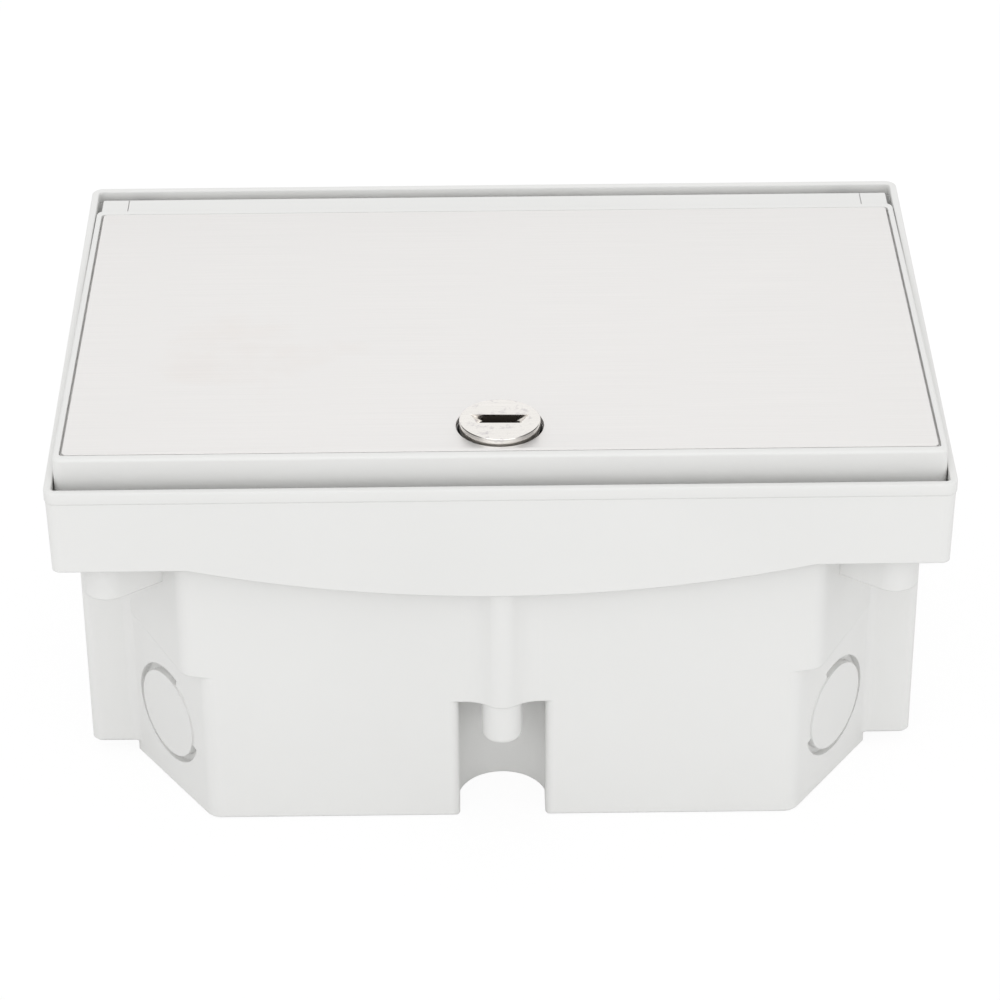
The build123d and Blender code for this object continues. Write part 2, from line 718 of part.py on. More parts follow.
# Lid tray: the moulded lid with its border, ribs below and the hinge strip along its back
with BuildPart() as lid_tray:
    with BuildSketch(lid_at(lid_bottom)):
        with Locations((0, lid_middle)):
            RectangleRounded(2 * lid_half, lid_length, lid_corner)
    extrude(amount=lid_depth)
    fillet(lid_tray.faces().sort_by(Axis.Z)[-1].edges(), border_round)
    # Hollow below the skin, crossed by ribs, with bosses for the lock and the screws
    with BuildSketch(lid_at(lid_bottom)):
        with Locations((0, lid_middle)):
            RectangleRounded(2 * (lid_half - lid_wall), lid_length - 2 * lid_wall, lid_corner / 2)
    extrude(amount=skin_base - lid_bottom, mode=Mode.SUBTRACT)
    for x in [n * rib_pitch for n in range(-rib_pairs, rib_pairs + 1)]:
        box_at(lid_at(rib_base), x, lid_middle, rib_width, lid_length - lid_wall, rib_height)
    for y in (-rib_pitch, 0, rib_pitch):
        box_at(lid_at(rib_base), 0, y, 2 * lid_half - lid_wall, rib_width, rib_height)
    cylinder_at(lid_at(rib_base), 0, -lock_y, lock_radius + lid_wall, rib_height)
    for x, y in corners(sheet_screw_x, sheet_screw_y):
        cylinder_at(lid_at(rib_base), x, y, screw_boss_wall + screw_radius, rib_height)
        cylinder_at(lid_at(rib_base), x, y, screw_radius, rib_height, mode=Mode.SUBTRACT)
    # Hinge strip, with slots for the bracket ears and bores for the pins
    with BuildSketch(lid_section(-strip_half)):
        add(strip_profile(lid_back_y - lid_wall / 2))
    extrude(amount=2 * strip_half)
    slot_width = 2 * (hinge_ear_half + hinge_ear_gap)
    slot_front = hinge_y - hinge_ear_radius - hinge_ear_gap
    slot_base = strip_base - slot_roof
    for side in (-1, 1):
        box_at(lid_at(slot_base), side * ear_centre, (slot_front + box_depth / 2) / 2, slot_width,
               box_depth / 2 - slot_front, strip_top - slot_roof - slot_base, mode=Mode.SUBTRACT)
        with BuildSketch(lid_section(side * strip_half)) as pin_bore:
            with Locations((hinge_y, hinge_z)):
                Circle(hinge_pin_radius)
        bore_depth = hinge_pin_length - cap_length + cap_skin
        extrude(pin_bore.sketch, amount=-side * bore_depth, mode=Mode.SUBTRACT)
    # Pocket for the cover plate, and the stepped bore for the lock
    with BuildSketch(lid_at(pocket_floor)):
        with Locations((0, plate_middle)):
            RectangleRounded(2 * (plate_half + plate_side_gap), plate_length + 2 * plate_end_gap,
                             lid_corner / 2)
    extrude(amount=2 * plate_thickness, mode=Mode.SUBTRACT)
    cylinder_at(lid_at(cup_base), 0, -lock_y, housing_radius, cup_depth, mode=Mode.SUBTRACT)
    cylinder_at(lid_at(lid_bottom), 0, -lock_y, sleeve_radius, lid_depth, mode=Mode.SUBTRACT)
finish(lid_tray, "lid_tray")

# Cover plate: brushed steel sheet set into the lid's pocket
with BuildPart() as cover_plate:
    with BuildSketch(lid_at(pocket_floor)):
        with Locations((0, plate_middle)):
            RectangleRounded(2 * plate_half, plate_length, lid_corner / 2)
        with Locations((0, -lock_y)):
            Circle(lock_radius, mode=Mode.SUBTRACT)
    extrude(amount=plate_thickness + plate_proud)
    chamfer(cover_plate.faces().sort_by(Axis.Z)[-1].outer_wire().edges(), plate_bevel)
finish(cover_plate, "cover_plate")

# Steel sheet that stiffens the lid from below, with its screws
with BuildPart() as lid_stiffener:
    with BuildSketch(lid_at(stiffener_base)):
        with Locations((0, lid_middle)):
            RectangleRounded(2 * (lid_half - lid_wall - sheet_inset),
                             lid_length - 2 * (lid_wall + sheet_inset), lid_corner / 2)
        with Locations((0, -lock_y)):
            Circle(sleeve_radius + seat_gap, mode=Mode.SUBTRACT)
    extrude(amount=sheet)
    for x, y in corners(sheet_screw_x, sheet_screw_y):
        screw_seat(lid_underside(stiffener_base), x, -y, sheet)
finish(lid_stiffener, "lid_stiffener")

with BuildPart() as stiffener_screws:
    for x, y in corners(sheet_screw_x, sheet_screw_y):
        flat_head_screw(lid_underside(stiffener_base), x, -y, sheet + rib_height)
finish(stiffener_screws, "stiffener_screws")

# Rubber bumpers on the stiffener, which meet the front ledge when the lid is shut
with BuildPart() as lid_bumpers:
    bumper_base = ledge_top + seat_gap
    bumper_y = lid_front_y - lid_wall - bumper_inset - bumper_width / 2
    for side in (-1, 1):
        box_at(lid_at(bumper_base), side * bumper_x, -bumper_y, bumper_length, bumper_width,
               stiffener_base - bumper_base)
finish(lid_bumpers, "lid_bumpers")

# Hinge pins in the strip, and the caps that close the strip's ends over them
pin_start = strip_half + cap_length - cap_skin
with BuildPart() as hinge_pins:
    for side in (-1, 1):
        with BuildSketch(lid_section(side * pin_start)) as pin_end:
            with Locations((hinge_y, hinge_z)):
                Circle(hinge_pin_radius)
        extrude(pin_end.sketch, amount=-side * hinge_pin_length)
finish(hinge_pins, "hinge_pins")

for side, name in ((-1, "hinge_cap_left"), (1, "hinge_cap_right")):
    with BuildPart() as hinge_cap:
        with BuildSketch(lid_section(side * (strip_half + cap_gap))):
            add(strip_profile(lid_back_y))
        extrude(amount=side * (cap_length - cap_gap))
        with BuildSketch(lid_section(side * (strip_half + cap_gap))):
            with Locations((hinge_y, hinge_z)):
                Circle(hinge_pin_radius)
        extrude(amount=side * (cap_length - cap_gap - cap_skin), mode=Mode.SUBTRACT)
    finish(hinge_cap, name)

# Lock: a cup in the lid, the round coin-slot knob with its barrel, the cam and its nut
with BuildPart() as lock_housing:
    cylinder_at(lid_at(cup_base), 0, -lock_y, housing_radius, pocket_floor - cup_base)
    cylinder_at(lid_at(sleeve_base), 0, -lock_y, sleeve_radius, cup_base - sleeve_base)
    cylinder_at(lid_at(cup_base + cup_floor), 0, -lock_y, housing_radius - cup_wall, cup_depth,
                mode=Mode.SUBTRACT)
    cylinder_at(lid_at(sleeve_base), 0, -lock_y, barrel_radius + running_gap, sleeve_drop,
                mode=Mode.SUBTRACT)
finish(lock_housing, "lock_housing")

with BuildPart() as lock_knob:
    cylinder_at(lid_at(knob_base), 0, -lock_y, knob_radius, knob_top - knob_base)
    chamfer(lock_knob.faces().sort_by(Axis.Z)[-1].edges(), knob_bevel)
    cylinder_at(lid_at(cam_top), 0, -lock_y, barrel_radius, knob_base - cam_top)
    cylinder_at(lid_at(cam_base - cam_nut_thickness), 0, -lock_y, cam_stub_radius,
                cam_thickness + cam_nut_thickness)
    # Coin slot with sloped ends, drawn on the upright plane at its front wall
    slot_bottom = knob_top - coin_slot_depth
    ramp_foot = knob_top - coin_slot_ramp
    slot_front_y = coin_slot_back - lock_y - coin_slot_width / 2
    slot_front = Plane(origin=lid_at(0).origin + lid_at(0).y_dir * slot_front_y,
                       x_dir=(1, 0, 0), z_dir=-lid_at(0).y_dir)
    with BuildSketch(slot_front):
        Polygon((-coin_slot_length / 2, knob_top), (coin_slot_length / 2, knob_top),
                (coin_slot_floor / 2, ramp_foot), (coin_slot_floor / 2, slot_bottom),
                (-coin_slot_floor / 2, slot_bottom), (-coin_slot_floor / 2, ramp_foot), align=None)
    extrude(amount=-coin_slot_width, mode=Mode.SUBTRACT)
finish(lock_knob, "lock_knob")

with BuildPart() as lock_cam:
    with BuildSketch(lid_at(cam_base)):
        with Locations((0, -lock_y)):
            Circle(cam_eye_radius)
        with Locations(((cam_reach - cam_width / 2) / 2, -lock_y)):
            Rectangle(cam_reach - cam_width / 2, cam_width)
        with Locations((cam_reach - cam_width / 2, -lock_y)):
            Circle(cam_width / 2)
        with Locations((0, -lock_y)):
            Circle(cam_stub_radius, mode=Mode.SUBTRACT)
    extrude(amount=cam_thickness)
finish(lock_cam, "lock_cam")

with BuildPart() as cam_nut:
    with BuildSketch(lid_at(cam_base - cam_nut_thickness)):
        with Locations((0, -lock_y)):
            RegularPolygon(cam_nut_radius, 6)
            Circle(cam_stub_radius, mode=Mode.SUBTRACT)
    extrude(amount=cam_nut_thickness)
finish(cam_nut, "cam_nut")

# Module carrier: folded steel that hangs in the opening by its lips
module_places = [(column * module_pitch, row * module_pitch / 2)
                 for row in (1, -1) for column in (-1, 0, 1)]
with BuildPart() as module_carrier:
    box_at(level(carrier_base), 0, 0, 2 * carrier_half_width, 2 * carrier_half_depth, sheet)
    box_at(level(carrier_base), 0, 0, 2 * wing_x, 2 * wing_half_depth, sheet)
    for side in (-1, 1):
        box_at(level(carrier_base), side * (wing_x - sheet / 2), 0, sheet, 2 * wing_half_depth,
               ledge_top + sheet - carrier_base)
        box_at(level(ledge_top), side * (wing_x - sheet + (carrier_lip + sheet) / 2), 0,
               carrier_lip + sheet, 2 * wing_half_depth, sheet)
        box_at(level((carrier_top + ledge_top - wing_window_height) / 2), side * (wing_x - sheet / 2), 0,
               2 * sheet, wing_window_width, wing_window_height, mode=Mode.SUBTRACT)
        for y in (-carrier_screw_y, carrier_screw_y):
            screw_seat(level(ledge_top + sheet), side * carrier_screw_x, y, sheet)
    with BuildSketch(level(carrier_base)):
        with Locations(*module_places):
            Rectangle(module_size + 2 * module_gap, module_size + 2 * module_gap)
        slot_x = (module_pitch + module_lip / 2 + wing_x - sheet) / 2
        with Locations((-slot_x, 0), (slot_x, 0)):
            SlotOverall(cable_slot_length, cable_slot_width, rotation=90)
    extrude(amount=sheet, mode=Mode.SUBTRACT)
finish(module_carrier, "module_carrier")

with BuildPart() as carrier_screws:
    for x, y in corners(carrier_screw_x, carrier_screw_y):
        flat_head_screw(level(ledge_top + sheet), x, y, sheet + ledge_thickness)
finish(carrier_screws, "carrier_screws")

# Power sockets with their earth clips and contact tubes, in the back row
for number, (x, y) in enumerate(module_places[:3], start=1):
    with BuildPart() as power_socket:
        box_at(level(carrier_top - socket_body_depth), x, y, module_size, module_size, socket_body_depth)
        module_lip_at(x, y)
        cylinder_at(level(module_face), x, y, socket_recess_radius, -socket_recess_depth,
                    mode=Mode.SUBTRACT)
        for side in (-1, 1):
            hole_x = x + side * contact_pitch / 2
            cylinder_at(level(carrier_top - socket_body_depth), hole_x, y, contact_hole_radius,
                        socket_body_depth, mode=Mode.SUBTRACT)
            cylinder_at(level(carrier_top - socket_body_depth), hole_x, y, contact_tube_radius,
                        contact_tube_length, mode=Mode.SUBTRACT)
    finish(power_socket, f"power_socket_{number}")

    with BuildPart() as contact_tubes:
        for side in (-1, 1):
            with BuildSketch(level(carrier_top - socket_body_depth)):
                with Locations((x + side * contact_pitch / 2, y)):
                    Circle(contact_tube_radius)
                    Circle(contact_tube_radius - contact_tube_wall, mode=Mode.SUBTRACT)
            extrude(amount=contact_tube_length)
    finish(contact_tubes, f"contact_tubes_{number}")

    with BuildPart() as earth_clips:
        recess_floor = module_face - socket_recess_depth
        for side in (-1, 1):
            clip_y = y + side * (socket_recess_radius - 2 * earth_clip_thickness)
            box_at(level(recess_floor), x, clip_y, earth_clip_width, earth_clip_thickness,
                   earth_clip_height)
            foot_length = 2 * earth_clip_thickness
            box_at(level(recess_floor), x, clip_y - side * foot_length / 2, earth_clip_width, foot_length,
                   earth_clip_thickness)
    finish(earth_clips, f"earth_clips_{number}")

# Data modules with two jacks each, and a blank module, in the front row
jack_number = 0
for number, (x, y) in enumerate(module_places[3:5], start=1):
    jack_places = [(x - jack_pitch / 2, y), (x + jack_pitch / 2, y)]
    with BuildPart() as data_module:
        body_base = carrier_top - data_body_depth
        box_at(level(body_base), x, y, module_size, module_size, data_body_depth)
        module_lip_at(x, y)
        for jack_x, jack_y in jack_places:
            box_at(level(body_base), jack_x, jack_y, jack_width + 2 * jack_frame_gap,
                   jack_length + 2 * jack_frame_gap, data_body_depth + module_lip_height,
                   mode=Mode.SUBTRACT)
    finish(data_module, f"data_module_{number}")
    for jack_x, jack_y in jack_places:
        jack_number += 1
        with BuildPart() as data_jack:
            box_at(level(body_base), jack_x, jack_y, jack_width, jack_length,
                   data_body_depth + module_lip_height - jack_inset)
            port_floor = module_face - jack_inset - jack_port_depth
            box_at(level(port_floor), jack_x, jack_y, jack_port_width, jack_port_length, jack_port_depth,
                   mode=Mode.SUBTRACT)
            box_at(level(port_floor), jack_x, jack_y - (jack_port_length + jack_key_length) / 2,
                   jack_key_width, jack_key_length, jack_port_depth, mode=Mode.SUBTRACT)
        finish(data_jack, f"data_jack_{jack_number}")

with BuildPart() as blank_module:
    x, y = module_places[5]
    box_at(level(carrier_top - blank_body_depth), x, y, module_size, module_size, blank_body_depth)
    module_lip_at(x, y)
    hollow_size = module_size - 2 * blank_wall
    box_at(level(carrier_top - blank_body_depth), x, y, hollow_size, hollow_size, blank_body_depth,
           mode=Mode.SUBTRACT)
finish(blank_module, "blank_module")

# Divider between the power and data sides, standing on the tub's floor
with BuildPart() as circuit_divider:
    box_at(level(cavity_floor), 0, 0, 2 * carrier_half_width, divider_thickness,
           carrier_base - divider_gap - cavity_floor)
finish(circuit_divider, "circuit_divider")

# Cable clamps on the tub's posts, and their screws
for side, name in ((-1, "cable_clamp_left"), (1, "cable_clamp_right")):
    with BuildPart() as cable_clamp:
        with BuildSketch(level(clamp_base)):
            with Locations((side * clamp_x, clamp_y)):
                SlotCenterToCenter(clamp_pitch, clamp_bar_width, rotation=90)
        extrude(amount=clamp_bar_thickness)
        for y in (clamp_y - clamp_pitch / 2, clamp_y + clamp_pitch / 2):
            screw_seat(level(clamp_base + clamp_bar_thickness), side * clamp_x, y, clamp_bar_thickness)
    finish(cable_clamp, name)

with BuildPart() as clamp_screws:
    for side in (-1, 1):
        for y in (clamp_y - clamp_pitch / 2, clamp_y + clamp_pitch / 2):
            flat_head_screw(level(clamp_base + clamp_bar_thickness), side * clamp_x, y,
                            clamp_bar_thickness + clamp_screw_reach)
finish(clamp_screws, "clamp_screws")

# Terminal block on the tub's floor, with a clamping screw in each well
well_places = [((n - (terminal_wells - 1) / 2) * terminal_pitch, terminal_y)
               for n in range(terminal_wells)]
with BuildPart() as terminal_block:
    box_at(level(cavity_floor), 0, terminal_y, terminal_width, terminal_depth, terminal_height)
    for x, y in well_places:
        cylinder_at(level(cavity_floor + terminal_height), x, y, terminal_well_radius, -terminal_well_depth,
                    mode=Mode.SUBTRACT)
finish(terminal_block, "terminal_block")

with BuildPart() as terminal_screws:
    for x, y in well_places:
        well_floor = cavity_floor + terminal_height - terminal_well_depth
        cylinder_at(level(well_floor), x, y, terminal_screw_radius, terminal_screw_height)
        box_at(level(well_floor + terminal_screw_height), x, y, 2 * terminal_screw_radius, screw_slot,
               -screw_slot, mode=Mode.SUBTRACT)
finish(terminal_screws, "terminal_screws")
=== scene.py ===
from math import radians

import bpy
from mathutils import Matrix, Vector


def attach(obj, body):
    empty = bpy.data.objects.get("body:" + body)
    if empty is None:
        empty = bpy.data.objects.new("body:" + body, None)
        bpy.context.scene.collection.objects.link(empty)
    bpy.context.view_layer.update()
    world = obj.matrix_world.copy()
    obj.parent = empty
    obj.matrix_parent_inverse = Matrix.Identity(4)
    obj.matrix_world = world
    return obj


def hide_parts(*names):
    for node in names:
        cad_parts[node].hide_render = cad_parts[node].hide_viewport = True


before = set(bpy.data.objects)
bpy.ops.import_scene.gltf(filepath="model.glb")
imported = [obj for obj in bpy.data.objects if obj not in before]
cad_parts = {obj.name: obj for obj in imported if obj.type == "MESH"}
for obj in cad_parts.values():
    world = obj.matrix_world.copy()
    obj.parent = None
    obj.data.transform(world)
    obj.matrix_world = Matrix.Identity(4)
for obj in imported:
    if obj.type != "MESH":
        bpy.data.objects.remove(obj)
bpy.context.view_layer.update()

# Camera, at the height and angle from which the box was photographed, with a long lens.
camera_data = bpy.data.cameras.new("camera")
camera_data.lens = 133.94
camera_data.sensor_width = 36
camera = bpy.data.objects.new("camera", camera_data)
camera.location = (-0.006455, -0.8478, 0.60433)
camera.rotation_euler = (radians(56.8883), radians(0.3107), radians(-0.6644))
bpy.context.collection.objects.link(camera)
bpy.context.scene.camera = camera

# Floor: a wide white sheet of card under the box. To the camera and in reflections it reads as
# paper white, and it still darkens a little where the box keeps the light from it. From below it is
# clear, so that the box's underside can be seen.
bpy.ops.object.select_all(action="DESELECT")
bpy.ops.mesh.primitive_plane_add(size=6, location=(0, 0, -0.0002))
floor = bpy.context.object
floor.name = "floor"
card = bpy.data.materials.new("white_card")
card.use_nodes = True
nodes, links = card.node_tree.nodes, card.node_tree.links
nodes.clear()
matte = nodes.new("ShaderNodeBsdfDiffuse")
matte.inputs["Color"].default_value = (0.8, 0.8, 0.8, 1)
glow = nodes.new("ShaderNodeEmission")
glow.inputs["Strength"].default_value = 1.03
seen = nodes.new("ShaderNodeLightPath")
share = nodes.new("ShaderNodeMath")
share.operation = "MULTIPLY"
share.inputs[1].default_value = 0.9
blend = nodes.new("ShaderNodeMixShader")
out = nodes.new("ShaderNodeOutputMaterial")
links.new(seen.outputs["Is Camera Ray"], share.inputs[0])
links.new(share.outputs[0], blend.inputs[0])
links.new(matte.outputs[0], blend.inputs[1])
links.new(glow.outputs[0], blend.inputs[2])
side = nodes.new("ShaderNodeNewGeometry")
clear = nodes.new("ShaderNodeBsdfTransparent")
two_sided = nodes.new("ShaderNodeMixShader")
links.new(side.outputs["Backfacing"], two_sided.inputs[0])
links.new(blend.outputs[0], two_sided.inputs[1])
links.new(clear.outputs[0], two_sided.inputs[2])
links.new(two_sided.outputs[0], out.inputs["Surface"])
floor.data.materials.append(card)

# Studio light: a white room that lights the box softly from all round. Dark flags stand at its left
# and right, so that polished metal has something dark to reflect, as in the photograph.
world = bpy.data.worlds.new("white_room")
world.use_nodes = True
nodes, links = world.node_tree.nodes, world.node_tree.links
room = nodes["Background"]
room.inputs["Color"].default_value = (1, 1, 1, 1)
room.inputs["Strength"].default_value = 1.0
flags = nodes.new("ShaderNodeBackground")
flags.inputs["Color"].default_value = (0.03, 0.03, 0.03, 1)
place = nodes.new("ShaderNodeTexCoord")
parts = nodes.new("ShaderNodeSeparateXYZ")
sideways = nodes.new("ShaderNodeMath")
sideways.operation = "ABSOLUTE"
spread = nodes.new("ShaderNodeMapRange")
spread.inputs["From Min"].default_value = 0.62
spread.inputs["From Max"].default_value = 0.82
seen = nodes.new("ShaderNodeLightPath")
reflected = nodes.new("ShaderNodeMath")
reflected.operation = "MULTIPLY"
blend = nodes.new("ShaderNodeMixShader")
links.new(place.outputs["Generated"], parts.inputs[0])
links.new(parts.outputs["X"], sideways.inputs[0])
links.new(sideways.outputs[0], spread.inputs["Value"])
links.new(spread.outputs[0], reflected.inputs[0])
links.new(seen.outputs["Is Glossy Ray"], reflected.inputs[1])
links.new(reflected.outputs[0], blend.inputs[0])
links.new(room.outputs[0], blend.inputs[1])
links.new(flags.outputs[0], blend.inputs[2])
links.new(blend.outputs[0], nodes["World Output"].inputs["Surface"])
bpy.context.scene.world = world
bpy.context.scene.view_settings.view_transform = "Standard"

# Two large soft lamps stand in front, one high on the left and one low on the right, both turned to
# the middle of the box. They fill the hollows under the skirt and the lid's edge.
box_middle = Vector((0, 0, 0.05))
lamps = (("high_lamp", (-0.6, -1.6, 1.1), 3.2),
         ("low_lamp", (0.6, -1.7, 0.35), 2.6))
for name, spot, watts in lamps:
    lamp_data = bpy.data.lights.new(name, "AREA")
    lamp_data.shape = "RECTANGLE"
    lamp_data.size = 1.4
    lamp_data.size_y = 0.8
    lamp_data.energy = watts
    lamp = bpy.data.objects.new(name, lamp_data)
    lamp.location = spot
    lamp.rotation_euler = (box_middle - lamp.location).to_track_quat("-Z", "Y").to_euler()
    bpy.context.collection.objects.link(lamp)

# Recessed tub: the big moulded box that is set into the floor. It is pressed in one shot of pale
# grey ABS, so it has the fine grain of a spark-eroded mould and every edge is softly rounded.
grain = bpy.data.node_groups.new("moulded_grain", "ShaderNodeTree")
grain.interface.new_socket("Grain", in_out="INPUT", socket_type="NodeSocketFloat").default_value = 0.1
grain.interface.new_socket("Edge", in_out="INPUT", socket_type="NodeSocketFloat").default_value = 0.0004
grain.interface.new_socket("Tone", in_out="OUTPUT", socket_type="NodeSocketFloat")
grain.interface.new_socket("Roughness", in_out="OUTPUT", socket_type="NodeSocketFloat")
grain.interface.new_socket("Normal", in_out="OUTPUT", socket_type="NodeSocketVector")
nodes, links = grain.nodes, grain.links
given = nodes.new("NodeGroupInput")
result = nodes.new("NodeGroupOutput")
place = nodes.new("ShaderNodeTexCoord")
speckle = nodes.new("ShaderNodeTexNoise")
speckle.inputs["Scale"].default_value = 2600
speckle.inputs["Detail"].default_value = 2
clouds = nodes.new("ShaderNodeTexNoise")
clouds.inputs["Scale"].default_value = 14
clouds.inputs["Detail"].default_value = 3
rounding = nodes.new("ShaderNodeBevel")
rounding.samples = 6
relief = nodes.new("ShaderNodeBump")
relief.inputs["Distance"].default_value = 0.00004
shine = nodes.new("ShaderNodeMapRange")
shine.inputs["To Min"].default_value = 0.42
shine.inputs["To Max"].default_value = 0.56
links.new(place.outputs["Object"], speckle.inputs["Vector"])
links.new(place.outputs["Object"], clouds.inputs["Vector"])
links.new(given.outputs["Edge"], rounding.inputs["Radius"])
links.new(given.outputs["Grain"], relief.inputs["Strength"])
links.new(speckle.outputs[0], relief.inputs["Height"])
links.new(rounding.outputs[0], relief.inputs["Normal"])
links.new(clouds.outputs[0], shine.inputs["Value"])
links.new(clouds.outputs[0], result.inputs["Tone"])
links.new(shine.outputs[0], result.inputs["Roughness"])
links.new(relief.outputs[0], result.inputs["Normal"])


def moulded(name, light, dark, grain_depth, edge):
    """A moulded plastic: its two close tones, the depth of its grain and the rounding of its edges."""
    material = bpy.data.materials.new(name)
    material.use_nodes = True
    nodes, links = material.node_tree.nodes, material.node_tree.links
    shader = nodes["Principled BSDF"]
    surface = nodes.new("ShaderNodeGroup")
    surface.node_tree = grain
    surface.inputs["Grain"].default_value = grain_depth
    surface.inputs["Edge"].default_value = edge
    tones = nodes.new("ShaderNodeValToRGB")
    tones.color_ramp.elements[0].position = 0.35
    tones.color_ramp.elements[0].color = (*dark, 1)
    tones.color_ramp.elements[1].position = 0.65
    tones.color_ramp.elements[1].color = (*light, 1)
    links.new(surface.outputs["Tone"], tones.inputs["Fac"])
    links.new(tones.outputs["Color"], shader.inputs["Base Color"])
    links.new(surface.outputs["Roughness"], shader.inputs["Roughness"])
    links.new(surface.outputs["Normal"], shader.inputs["Normal"])
    return material


def dress(node, material):
    """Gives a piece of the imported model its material, in place of the plain one."""
    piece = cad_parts[node]
    piece.data.materials.clear()
    piece.data.materials.append(material)


tub_plastic = moulded("tub_plastic", (0.785, 0.785, 0.773), (0.770, 0.770, 0.758), 0.14, 0.0005)
dress("recess_tub", tub_plastic)

# Skirt collar: the moulded frame that sits on the tub, with the wide drooping skirt. Same plastic
# as the tub, with tighter edges.
pale_plastic = moulded("pale_plastic", (0.785, 0.785, 0.773), (0.770, 0.770, 0.758), 0.12, 0.0004)
dress("skirt_collar", pale_plastic)

# Trim frame: the thin moulded band pressed round the collar's top edge. Its upper and lower edges
# are broken by a small radius, and the seam below it shows as a fine line.


def edit(piece, kind, wanted):
    """Opens a piece for editing with only the wanted edges or faces selected."""
    bpy.ops.object.mode_set(mode="EDIT")
    bpy.ops.mesh.select_mode(type=kind)
    bpy.ops.mesh.select_all(action="DESELECT")
    bpy.ops.object.mode_set(mode="OBJECT")
    places = [v.co for v in piece.data.vertices]
    for item in piece.data.edges if kind == "EDGE" else piece.data.polygons:
        item.select = wanted([places[v] for v in item.vertices])
    bpy.ops.object.mode_set(mode="EDIT")


def upright(ends):
    """True for an edge that runs straight up."""
    return abs(ends[0].x - ends[1].x) + abs(ends[0].y - ends[1].y) < 0.00001


def level_face(corners):
    """True for a face whose corners are all at one height."""
    heights = [corner.z for corner in corners]
    return max(heights) - min(heights) < 0.00001


bpy.ops.object.select_all(action="DESELECT")
bpy.ops.mesh.primitive_cube_add(size=1, location=(0, 0, 0.1043), scale=(0.226, 0.158, 0.0034))
trim_frame = bpy.context.object
trim_frame.name = "trim_frame"
bpy.ops.object.transform_apply(location=True, rotation=True, scale=True)
edit(trim_frame, "EDGE", upright)
bpy.ops.mesh.bevel(offset=0.003, segments=8)
bpy.ops.object.mode_set(mode="OBJECT")
edit(trim_frame, "FACE", level_face)
bpy.ops.mesh.delete(type="FACE")
bpy.ops.object.mode_set(mode="OBJECT")
thickness = trim_frame.modifiers.new("wall", "SOLIDIFY")
thickness.thickness = 0.0019
thickness.offset = -1
bpy.ops.object.modifier_apply(modifier=thickness.name)
softened = trim_frame.modifiers.new("edges", "BEVEL")
softened.width = 0.00035
softened.segments = 3
softened.angle_limit = radians(50)
bpy.ops.object.modifier_apply(modifier=softened.name)
bpy.ops.object.shade_smooth_by_angle(angle=radians(35))
trim_frame.data.materials.append(pale_plastic)
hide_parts("rim_frame")
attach(trim_frame, "box")

# Lid tray: the moulded lid with its border, the pocket for the steel plate and the hinge strip
# along its back. Same plastic, moulded in one piece.
dress("lid_tray", pale_plastic)
dress("hinge_cap_left", pale_plastic)
dress("hinge_cap_right", pale_plastic)

# Cover plate: stainless sheet glued into the lid's pocket, brushed finely along its width, with
# faint warm stains from handling and a punched hole for the lock.
brushing = bpy.data.node_groups.new("fine_brushing", "ShaderNodeTree")
brushing.interface.new_socket("Across", in_out="INPUT", socket_type="NodeSocketFloat").default_value = 2600
brushing.interface.new_socket("Patches", in_out="INPUT", socket_type="NodeSocketFloat").default_value = 11
brushing.interface.new_socket("Lines", in_out="OUTPUT", socket_type="NodeSocketFloat")
brushing.interface.new_socket("Stains", in_out="OUTPUT", socket_type="NodeSocketFloat")
nodes, links = brushing.nodes, brushing.links
given = nodes.new("NodeGroupInput")
result = nodes.new("NodeGroupOutput")
place = nodes.new("ShaderNodeTexCoord")
parts = nodes.new("ShaderNodeSeparateXYZ")
along = nodes.new("ShaderNodeMath")
along.operation = "MULTIPLY"
along.inputs[1].default_value = 22
across = nodes.new("ShaderNodeMath")
across.operation = "MULTIPLY"
joined = nodes.new("ShaderNodeCombineXYZ")
strokes = nodes.new("ShaderNodeTexNoise")
strokes.inputs["Scale"].default_value = 1
strokes.inputs["Detail"].default_value = 5
strokes.inputs["Roughness"].default_value = 0.7
marks = nodes.new("ShaderNodeTexNoise")
marks.inputs["Detail"].default_value = 5
marks.inputs["Roughness"].default_value = 0.6
spread = nodes.new("ShaderNodeMapRange")
spread.inputs["From Min"].default_value = 0.55
spread.inputs["From Max"].default_value = 0.74
links.new(place.outputs["Object"], parts.inputs[0])
links.new(parts.outputs["X"], along.inputs[0])
links.new(parts.outputs["Y"], across.inputs[0])
links.new(given.outputs["Across"], across.inputs[1])
links.new(along.outputs[0], joined.inputs["X"])
links.new(across.outputs[0], joined.inputs["Y"])
links.new(joined.outputs[0], strokes.inputs["Vector"])
links.new(place.outputs["Object"], marks.inputs["Vector"])
links.new(given.outputs["Patches"], marks.inputs["Scale"])
links.new(marks.outputs[0], spread.inputs["Value"])
links.new(strokes.outputs[0], result.inputs["Lines"])
links.new(spread.outputs[0], result.inputs["Stains"])


